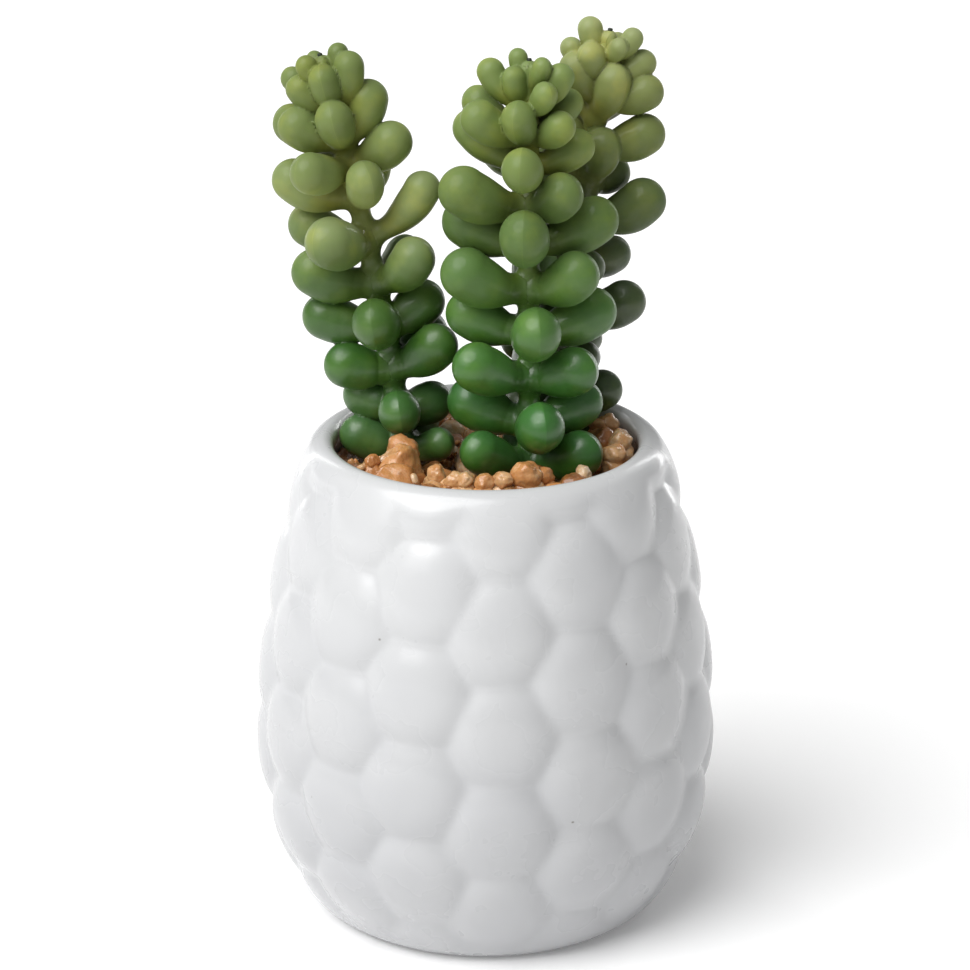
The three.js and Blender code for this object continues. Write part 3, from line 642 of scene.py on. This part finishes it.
def leaf_plastic(name, greens):
    """Soft plastic, half glossy low on a stem and dusty matt higher up, its green changing from
    foot to tip, with browner roots that are also painted darker near the stem as shade, tops
    painted paler as a bloom and as light from above, undersides painted darker and browner as
    shade, and a fine pale mould line over each leaf."""
    material, tree, shader, place = finish_of(name)
    height = height_of(tree, place)
    wander = maths(tree, "MULTIPLY", grain(tree, place, GREENS_GRAIN), GREENS_WANDER)
    rise = band(tree, maths(tree, "ADD", height, wander), *GREENS_SPAN, kind="LINEAR")
    green = ramp_colour(tree, rise, greens)
    dullness = maths(tree, "MULTIPLY", written(tree, "leaf_tint"), 0.5)
    colour = blended(tree, dullness, green, tinted(tree, green, DULL_LEAF))
    patches = band(tree, grain(tree, place, PATCH_GRAIN, 4), 0.42, 0.72, 0, 0.75)
    colour = blended(tree, patches, colour, tinted(tree, colour, WARM_PATCH))

    out = written(tree, "out")
    # partly painted shade: towards the stem a leaf is tinted browner, and high up also darkened
    # where the leaves crowd and shade each other
    root = blended(tree, band(tree, height, *ROOT_TURNS), ROOT_LOW, ROOT_HIGH_BROWN_AND_SHADE)
    root_tint_and_shade = band(tree, out, 0.2, 0.72, 0.9, 0)
    colour = blended(tree, root_tint_and_shade, colour, tinted(tree, colour, root))
    # painted light and shade: faces turned up are painted paler, a bloom and light from above, and
    # faces turned down darker and browner, as shade
    facing = height_of(tree, add(tree, "ShaderNodeNewGeometry").outputs["Normal"])
    side = blended(tree, band(tree, facing, -0.7, 0.9), LEAF_UNDER_PAINTED_SHADE, LEAF_TOP_BLOOM_AND_LIGHT)
    colour = tinted(tree, colour, side)

    clear = band(tree, out, 0.35, 0.6)
    wobble = maths(tree, "MULTIPLY", grain(tree, place, LINE_GRAIN, 1), LINE_WOBBLE)
    past = maths(tree, "ADD", written(tree, "seam"), wobble)
    past = maths(tree, "SUBTRACT", past, LINE_WOBBLE / 2)
    beside = maths(tree, "ABSOLUTE", past, 0.0)
    line = maths(tree, "MULTIPLY", band(tree, beside, *LINE_WIDTH, 1, 0), clear)
    paleness = maths(tree, "MULTIPLY", line, 0.35)
    colour = blended(tree, paleness, colour, tinted(tree, colour, MOULD_LINE))

    matt = band(tree, height, *GLOSS_FADES, LOW_GLOSS, HIGH_GLOSS)
    uneven = band(tree, grain(tree, place, LEAF_GLOSS_GRAIN, 3), 0.3, 0.7, -0.05, 0.07)
    slopes = band(tree, height, *GLOSS_FADES, *LINE_SLOPES)
    slope = maths(tree, "MULTIPLY", maths(tree, "MULTIPLY", beside, slopes), clear)
    ridge = add(tree, "ShaderNodeBump", Height=slope, Strength=1.0, Distance=MM)
    skin = add(tree, "ShaderNodeBump", Height=grain(tree, place, SKIN_GRAIN, 3),
               Strength=0.2, Distance=SKIN_HEIGHT, Normal=ridge.outputs[0])
    fill(tree, shader, Base_Color=colour, Roughness=maths(tree, "ADD", matt, uneven),
         Normal=skin.outputs[0], Coat_Weight=0.16, Coat_Roughness=0.05,
         Subsurface_Weight=0.15, Subsurface_Radius=(0.5, 0.9, 0.3), Subsurface_Scale=0.001)
    return material


for stem_name, stem in STEMS.items():
    curve, whorls = stem["curve"], stem["whorls"]
    lines = [leaf_line(curve, whorl, leaf, LEAF_REACHES) for whorl in whorls for leaf in whorl[2]]
    parts = [leaf_mesh(line) for line in lines]
    parts.append(rod_mesh(stem_points(curve, STEM_STEP), STEM_RADIUS, STEM_SIDES))
    leafy = fused(f"leaves_{stem_name}", parts)
    settle(leafy, curve, lines)
    leafy.data.materials.append(leaf_plastic(f"leaf_plastic_{stem_name}", GREENS[stem_name]))
    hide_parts(f"leafy_stem_{stem_name}")
    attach(leafy, "root")


# ------------------------------------------------------------------------------------------------
# The stem wires: soft iron wire in a dark green coat, run up through each stem to hold its bend.
# The cut end shows as a dark speck among the buds.
# ------------------------------------------------------------------------------------------------

WIRE_RADIUS = 0.45
WIRE_PROUD = 1.9
WIRE_SIDES = 20
WIRE_STEP = 2.5
CUT_EDGE = 0.12  # how far the cut end's edge is worn round
WIRE_COAT = (0.012, 0.022, 0.010, 1)
WIRE_WORN = (0.05, 0.06, 0.03, 1)
WIRE_WEAR = 1500


def coated_wire():
    """Dark green coat, duller and paler where it is worn."""
    material, tree, shader, place = finish_of("coated_wire")
    wear = band(tree, grain(tree, place, WIRE_WEAR, 4), 0.5, 0.7)
    fill(tree, shader, Base_Color=blended(tree, wear, WIRE_COAT, WIRE_WORN),
         Roughness=band(tree, wear, 0, 1, 0.4, 0.7))
    return material


wire_finish = coated_wire()
for stem_name, stem in STEMS.items():
    middle = list(stem_points(stem["curve"], WIRE_STEP))
    ahead = middle[-1] - middle[-2]
    ahead /= np.linalg.norm(ahead)
    middle.append(middle[-1] + ahead * WIRE_PROUD)
    wire = object_of(f"wire_{stem_name}", *rod_mesh(middle, WIRE_RADIUS, WIRE_SIDES))
    rounded = wire.modifiers.new("cut_edge", "BEVEL")
    rounded.width = CUT_EDGE * MM
    rounded.segments = 2
    wire.data.materials.append(wire_finish)
    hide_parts(f"stem_wire_{stem_name}")
    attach(wire, "root")


# ------------------------------------------------------------------------------------------------
# The gravel: crushed orange-brown stone, poured round the stems over the foam, heaped a little
# against the wall, and set with clear glue that leaves it half glossy.
# ------------------------------------------------------------------------------------------------

BED_BOTTOM = 75.8
BED_TOP = 81.4
GRIT_TOP = 81.3
GRIT_REACH = 28.0
GRIT_RINGS, GRIT_SIDES = 90, 220
GRIT_LUMPS = 0.55
GRIT_GRAIN = 0.9  # lumps to a millimetre
GRIT_HEAP = 1.5  # how much higher the grit lies at the wall
HEAP_STARTS = 20
BED_EDGE = [(28.9, BED_TOP), (30.2, BED_BOTTOM + 1), (30.2, BED_BOTTOM)]
GRIT_PALENESS = 0.12
LEAF_GAP = 0.4  # from a stone to the nearest leaf or stem
# The stones' middles lie on a sunflower's spiral with a little scatter.
STONE_COUNT = 66
STONE_STEP = 3.1
STONE_SIZES = (2.9, 4.3)
STONE_LEAST = 1.7
STONE_PROUD = (0.45, 0.95)  # how far a middle lies above the bed, in radii: least, most at the wall
STONE_SCATTER = 0.2
STONE_REACH = 26.9
STONE_SEED = 4528
# The stones that show in front of the leaves, each (x, y, height of its middle, radius, paleness).
# They are heaped up against the wall on stones of HEAP_SIZE.
FRONT_STONES = [
    (-15.3, -11, 86.9, 4.3, 0.75), (-14.8, -7.5, 88.5, 3.5, 0.5), (-20, -12, 88.1, 1.6, 0.45),
    (-8.6, -15, 87, 2.1, 0.75), (-5.4, -18, 86.8, 1.9, 0.85), (-3.5, -19, 87.2, 1.7, 0.9),
    (-0.2, -20, 87, 1.8, 0.75), (3, -20, 87.5, 1.8, 0.85), (7.1, -18.5, 88.1, 3.1, 0.58),
    (9.9, -17, 87.2, 2.1, 0.42), (16.9, -14, 86.5, 1.8, 0.9), (22.4, -4, 86.6, 2.7, 0.75),
    (23.9, 0, 88, 2.3, 0.85), (22.2, 9, 87.8, 2.2, 0.75), (20, 8, 88.2, 1.6, 0.65),
    (21, 3, 86.9, 2.6, 0.35),
]
HEAP_SIZE = 2.6
HEAP_STEP = 2.4
# Small chips lie in the gaps and on the flanks of the stones, but not on their crowns. FLANK and
# CROWN are parts of a stone's own plan.
CHIP_COUNT = 520
CHIP_SIZES = (0.7, 1.7)
CHIP_REACH = 27.0
CHIP_TOP = 87.2
CHIP_GAP = 0.15
CHIP_FLATNESS = 0.75
CHIP_PROUD = 0.1
FLANK = 0.7
FLANK_RISE = 0.8
CROWN = 0.45
STONE_PLANES = 20
PLANE_DEPTHS = (0.74, 1.05)  # how far out the planes lie that a stone is broken along, in its radii
EDGE_SHARPNESS = 13
STONE_SWELL = 1.03
STONE_ROUGH = 0.10
STONE_LUMPS = 2.4
STONE_SLIM = (0.82, 1.04)
CHIP_LEAN = 0.25  # how much of a free turn a flat chip takes
BALL_FRACTIONS = [0, 0.15, 0.3, 0.45, 0.6, 0.75, 0.9, 1]

STONE_COLOURS = [
    (0.0, (0.20, 0.075, 0.022)), (0.3, (0.42, 0.165, 0.048)), (0.6, (0.54, 0.25, 0.085)),
    (0.85, (0.60, 0.36, 0.17)), (1.0, (0.66, 0.50, 0.33)),
]
STONE_DUST = (0.62, 0.42, 0.24, 1)
STONE_PITS = (0.10, 0.035, 0.012, 1)
VEIN_GRAIN = 260
DUST_GRAIN = 1300
PIT_GRAIN = 900
GLUE_GRAIN = 350
GLUE_GLOSS = (0.22, 0.5)
STONE_GRAIN = 1100
GRAIN_HEIGHT = 0.0005  # metres


def seeded(seed):
    """Draws from 0 to 1, the same each time for the same seed."""
    state = seed
    while True:
        state = state * 16807 % 2147483647
        yield state / 2147483647


def low_leaf_balls():
    """Every ball along every leaf near the bed, and the stems there."""
    places, radii = [], []
    for stem in STEMS.values():
        for whorl in stem["whorls"][:2]:
            for leaf in whorl[2]:
                points, sizes, *_ = leaf_line(stem["curve"], whorl, leaf, BALL_FRACTIONS)
                places.extend(points)
                radii.extend(sizes)
        for height in range(11):
            places.append(curve_at(stem["curve"], BED_TOP + height)[0])
            radii.append(STEM_RADIUS)
    return np.array(places), np.array(radii)


def stone_places():
    """Where each stone lies, how big it may be, less where a leaf hangs over it, and how pale."""
    draw = seeded(STONE_SEED)
    balls, ball_radii = low_leaf_balls()

    def room_at(centre):
        """The largest radius that keeps clear of leaves and stems."""
        return (np.linalg.norm(balls - centre, axis=1) - ball_radii).min() - LEAF_GAP

    golden = math.pi * (3 - math.sqrt(5))
    stones = []
    for x, y, height, wanted, paleness in FRONT_STONES:
        for z in np.arange(height, BED_TOP, -HEAP_STEP):
            size = min(HEAP_SIZE if z < height else wanted, room_at((x, y, z)))
            stones.append((x, y, z, size, paleness))
    for i in range(STONE_COUNT):
        wanted = STONE_SIZES[0] + (STONE_SIZES[1] - STONE_SIZES[0]) * next(draw)
        spread = min(STONE_STEP * math.sqrt(i + 0.5), STONE_REACH - wanted)
        turn = golden * i + STONE_SCATTER * (next(draw) - 0.5)
        least, most = STONE_PROUD
        heaped = least + (most - least) * next(draw) * spread / STONE_REACH
        x, y = spread * math.cos(turn), spread * math.sin(turn)
        size = min(wanted, room_at((x, y, BED_TOP + heaped * wanted)))
        if size >= STONE_LEAST:
            stones.append((x, y, BED_TOP + heaped * size, size, next(draw)))
    return stones


def round_points(level):
    """The corners and faces of a ball of even triangles."""
    ball = bmesh.new()
    bmesh.ops.create_icosphere(ball, subdivisions=level, radius=1)
    ball.verts.ensure_lookup_table()
    points = np.array([v.co for v in ball.verts])
    faces = [tuple(v.index for v in f.verts) for f in ball.faces]
    ball.free()
    return points, faces


def crushed_stone(ball, draw, place, size, flat=1.0):
    """A stone broken along random planes, with worn edges and a grainy skin."""
    points, faces = ball
    planes = draw.normal(size=(STONE_PLANES, 3))
    planes /= np.linalg.norm(planes, axis=1)[:, None]
    depths = draw.uniform(*PLANE_DEPTHS, STONE_PLANES)
    facing = np.maximum(points @ planes.T, 0.05)
    reach = -np.log(np.exp(-EDGE_SHARPNESS * depths / facing).sum(1)) / EDGE_SHARPNESS
    reach = np.minimum(reach, 1.0)
    spot = draw.uniform(-50, 50, 3)
    rough = np.array([noise.fractal(Vector(p * STONE_LUMPS + spot), 0.9, 2.2, 4) for p in points])
    shape = points * (reach * (1 + STONE_ROUGH * rough))[:, None] * draw.uniform(*STONE_SLIM, 3)
    shape[:, 2] *= flat
    turn = np.linalg.qr(draw.normal(size=(3, 3)))[0]
    turn *= np.sign(np.linalg.det(turn))
    level = np.eye(3)
    leaning = shape @ (turn.T if flat == 1 else level + CHIP_LEAN * (turn.T - level))
    return leaning * size + place, faces


def gravel_mesh():
    """All stones and chips as one mesh, and how pale each of its points is."""
    draw = np.random.default_rng(STONE_SEED)
    stones = stone_places()
    balls, ball_radii = low_leaf_balls()
    parts, tints = [], []
    big, small = round_points(4), round_points(3)
    for x, y, z, size, paleness in stones:
        parts.append(crushed_stone(big, draw, (x, y, z), size * STONE_SWELL))
        tints.append(paleness)
    centres = np.array([s[:3] for s in stones])
    sizes = np.array([s[3] for s in stones])
    for _ in range(CHIP_COUNT):
        spread = CHIP_REACH * math.sqrt(draw.random())
        turn = 2 * math.pi * draw.random()
        size = CHIP_SIZES[0] + (CHIP_SIZES[1] - CHIP_SIZES[0]) * draw.random() ** 2
        spread = min(spread, STONE_REACH - size)
        x, y = spread * math.cos(turn), spread * math.sin(turn)
        beside = (x - centres[:, 0])**2 + (y - centres[:, 1])**2
        if (beside < CROWN * sizes**2).any():
            continue
        flanks = centres[:, 2] + FLANK_RISE * np.sqrt(np.maximum(sizes**2 - beside, 0))
        tops = np.where(beside < FLANK * sizes**2, flanks, GRIT_TOP)
        place = np.array([x, y, tops.max() + CHIP_PROUD * size])
        room = np.linalg.norm(balls - place, axis=1) - ball_radii
        if room.min() < size + CHIP_GAP or place[2] > CHIP_TOP:
            continue
        parts.append(crushed_stone(small, draw, place, size, CHIP_FLATNESS))
        tints.append(draw.random())
    return joined(parts), np.repeat(tints, [len(points) for points, _ in parts])


def grit_mesh():
    """The bed under the stones: fine grit and glue, lumpy on top, flat below."""
    around = [2 * math.pi * k / GRIT_SIDES for k in range(GRIT_SIDES)]
    vertices = []
    for r in range(GRIT_RINGS):
        reach = GRIT_REACH * (r + 1) / GRIT_RINGS
        heap = GRIT_HEAP * smoothstep(HEAP_STARTS, GRIT_REACH, reach)
        for a in around:
            x, y = reach * math.cos(a), reach * math.sin(a)
            lump = noise.fractal(Vector((x * GRIT_GRAIN, y * GRIT_GRAIN, 3.0)), 0.8, 2.1, 5)
            vertices.append((x, y, GRIT_TOP + heap + GRIT_LUMPS * lump))
    for reach, z in BED_EDGE:
        vertices.extend((reach * math.cos(a), reach * math.sin(a), z) for a in around)
    vertices, faces = closed_rings(vertices, GRIT_SIDES, (0, 0, GRIT_TOP), (0, 0, BED_BOTTOM))
    return vertices, [tuple(reversed(face)) for face in faces]


def glued_stone():
    """Orange-brown stone, veined, dusty and pitted, under clear glue that is glossy in places."""
    material, tree, shader, place = finish_of("glued_stone")
    vein = band(tree, grain(tree, place, VEIN_GRAIN, 6, 0.6), 0.3, 0.75, -0.2, 0.2)
    paleness = maths(tree, "ADD", written(tree, "stone_tint"), vein)
    colour = ramp_colour(tree, paleness, STONE_COLOURS)
    dust = band(tree, grain(tree, place, DUST_GRAIN, 3), 0.58, 0.72, 0, 0.35)
    colour = blended(tree, dust, colour, STONE_DUST)
    pits = band(tree, grain(tree, place, PIT_GRAIN, 2), 0.36, 0.26, 0, 0.3)
    colour = blended(tree, pits, colour, STONE_PITS)
    gloss = band(tree, grain(tree, place, GLUE_GRAIN, 2), 0.35, 0.65, *GLUE_GLOSS)
    skin = add(tree, "ShaderNodeBump", Height=grain(tree, place, STONE_GRAIN, 5),
               Strength=0.5, Distance=GRAIN_HEIGHT)
    fill(tree, shader, Base_Color=colour, Roughness=gloss, Normal=skin.outputs[0],
         Coat_Weight=0.5, Coat_Roughness=0.1,
         Subsurface_Weight=0.12, Subsurface_Radius=(1.0, 0.5, 0.2), Subsurface_Scale=0.0012)
    return material


stones, stone_shades = gravel_mesh()
grit = grit_mesh()
gravel = object_of("gravel", *joined([stones, grit]))
grit_shades = np.full(len(grit[0]), GRIT_PALENESS)
write_down(gravel.data, "stone_tint", np.concatenate([stone_shades, grit_shades]))
gravel.data.materials.append(glued_stone())
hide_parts("gravel_bed")
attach(gravel, "root")


# ------------------------------------------------------------------------------------------------
# The studio: a plain pale floor, a pale surround, a broad soft light from the upper left, a weaker
# one in front and two tall strips behind, which draw the thin bright lines along the edges.
# ------------------------------------------------------------------------------------------------

FLOOR_SIZE = 6.0  # metres
FLOOR_TONE = (0.90, 0.90, 0.90, 1)
FLOOR_CLOUD = (0.92, 0.92, 0.92, 1)
FLOOR_GRAIN = 3
FLOOR_GLOW = 0.12  # a lit table: it keeps the shadow faint
SURROUND = 0.20
SUN_FROM = (-0.55, -0.50, 1.10)  # the side that the broad overhead light shines from
SUN_POWER = 3.2
SUN_SPREAD = 55  # degrees
# The other lights: place in metres, point to look at, width, height, power in watts.
LIGHTS = {
    "key": ((-0.75, -0.75, 0.75), (0, 0, 0.09), 0.7, 0.8, 3.0),
    "left_strip": ((-0.50, 0.68, 0.20), (0, 0, 0.08), 0.07, 0.9, 1.0),
    "right_strip": ((0.50, 0.68, 0.20), (0, 0, 0.08), 0.07, 0.9, 1.6),
}


def floor_finish():
    """Matt, nearly white, with the faintest cloud."""
    material, tree, shader, place = finish_of("pale_floor")
    cloud = band(tree, grain(tree, place, FLOOR_GRAIN), 0.3, 0.7)
    tone = blended(tree, cloud, FLOOR_TONE, FLOOR_CLOUD)
    fill(tree, shader, Base_Color=tone, Roughness=0.8,
         Emission_Color=(1, 1, 1, 1), Emission_Strength=FLOOR_GLOW)
    return material


def aimed(name, light, place, target):
    """A light at a place, shining towards a target."""
    holder = bpy.data.objects.new(name, light)
    holder.location = place
    holder.rotation_euler = (Vector(target) - Vector(place)).to_track_quat("-Z", "Y").to_euler()
    bpy.context.scene.collection.objects.link(holder)


half = FLOOR_SIZE / 2 / MM
corners = [(-half, -half, 0), (half, -half, 0), (half, half, 0), (-half, half, 0)]
ground = object_of("floor", corners, [(0, 1, 2, 3)])
ground.data.materials.append(floor_finish())

world = bpy.data.worlds.new("surround")
world.use_nodes = True
fill(world.node_tree, world.node_tree.nodes["Background"], Color=(1, 1, 1, 1), Strength=SURROUND)
bpy.context.scene.world = world

sun = bpy.data.lights.new("overhead", "SUN")
sun.energy = SUN_POWER
sun.angle = math.radians(SUN_SPREAD)
aimed("overhead", sun, SUN_FROM, (0, 0, 0))

for light_name, (place, target, width, height, power) in LIGHTS.items():
    lamp = bpy.data.lights.new(light_name, "AREA")
    lamp.shape = "RECTANGLE"
    lamp.size = width
    lamp.size_y = height
    lamp.energy = power
    aimed(light_name, lamp, place, target)


# ------------------------------------------------------------------------------------------------
# The camera: it looks down on the pot from the front, from well away, as in the photograph, and
# takes in a little more than the plant's own height.
# ------------------------------------------------------------------------------------------------

CAMERA_LIFT = math.radians(20)
CAMERA_AWAY = 0.7  # metres
CAMERA_TARGET = Vector((-0.00018, 0, 0.0795))
CAMERA_REACH = (0.05, 50)  # metres: nothing nearer or farther is drawn
SENSOR = 36.0
PICTURE_WIDTH = 970  # pixels
PIXEL = 0.000179  # metres that a pixel shows of the object, at the target

camera = bpy.data.cameras.new("camera")
camera.sensor_width = SENSOR
camera.lens = SENSOR * CAMERA_AWAY / (PICTURE_WIDTH * PIXEL)
camera.clip_start, camera.clip_end = CAMERA_REACH
eye = bpy.data.objects.new("camera", camera)
away = Vector((0, -math.cos(CAMERA_LIFT), math.sin(CAMERA_LIFT)))
eye.location = CAMERA_TARGET + CAMERA_AWAY * away
eye.rotation_euler = (math.pi / 2 - CAMERA_LIFT, 0, 0)
bpy.context.scene.collection.objects.link(eye)
bpy.context.scene.camera = eye
bpy.context.scene.view_settings.view_transform = "Standard"
